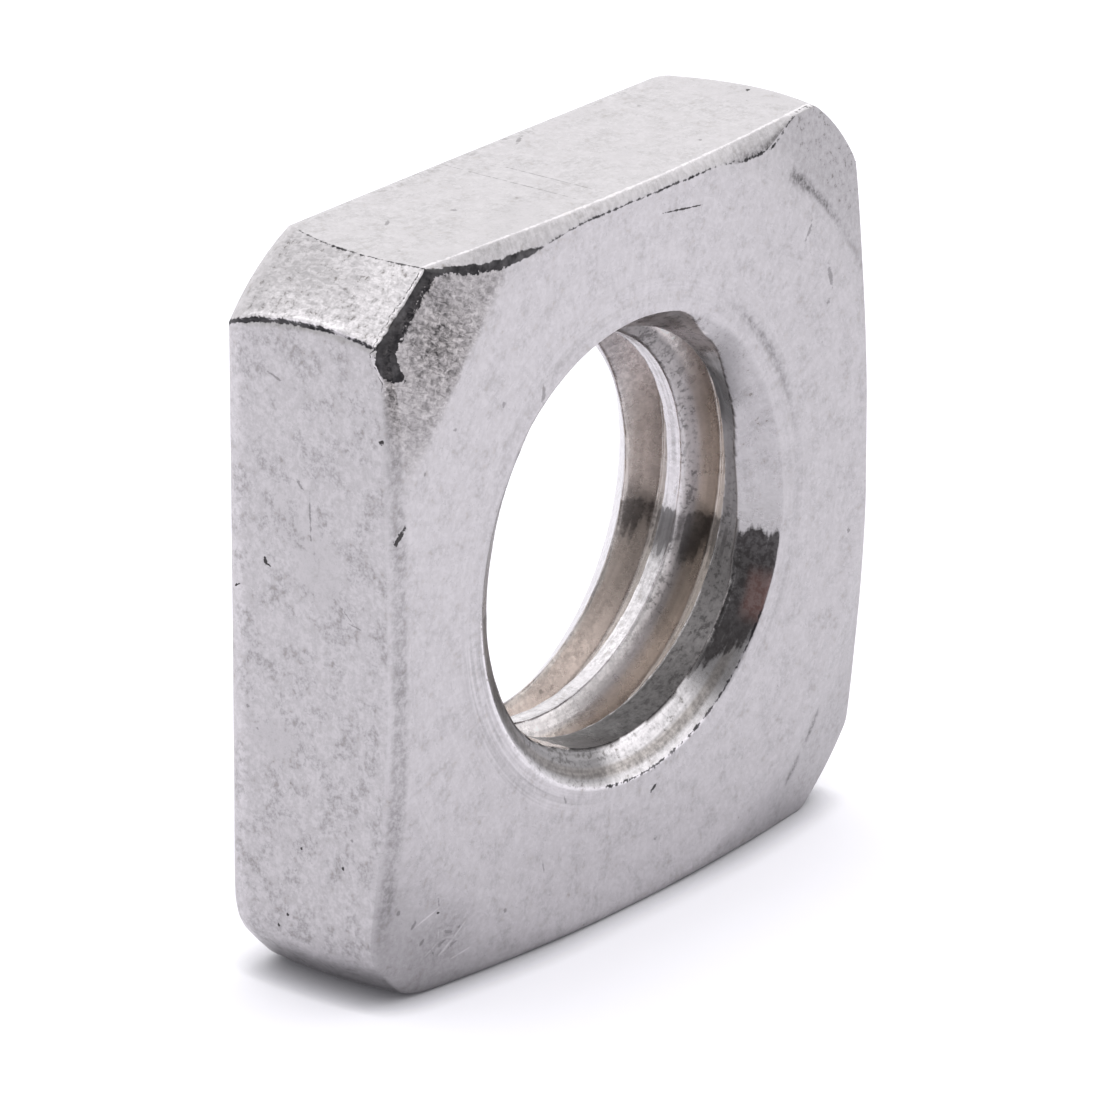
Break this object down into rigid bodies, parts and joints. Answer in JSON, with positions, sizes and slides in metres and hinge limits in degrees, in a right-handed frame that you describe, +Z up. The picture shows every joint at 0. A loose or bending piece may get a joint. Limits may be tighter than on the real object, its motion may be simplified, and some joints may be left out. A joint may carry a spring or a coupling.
{
  "type": "square nut",
  "caption": "Thin square steel nut with turned corners, a shallow cone on its front face, countersunk ends and a right-hand metric thread.",
  "frame": {"origin": "on the thread axis, halfway between the two faces", "axes": "+Y along the thread axis towards the back face, the chamfered face looks to -Y, +Z up with the nut standing on one flat"},
  "size_m": [0.0128, 0.0036, 0.0128],
  "materials": {
    "nut_steel": "dull, lightly pitted stainless steel, smooth on the flats and brighter on the thread"
  },
  "bodies": {
    "root": {"square_nut": "nut_steel"}
  },
  "joints": []
}
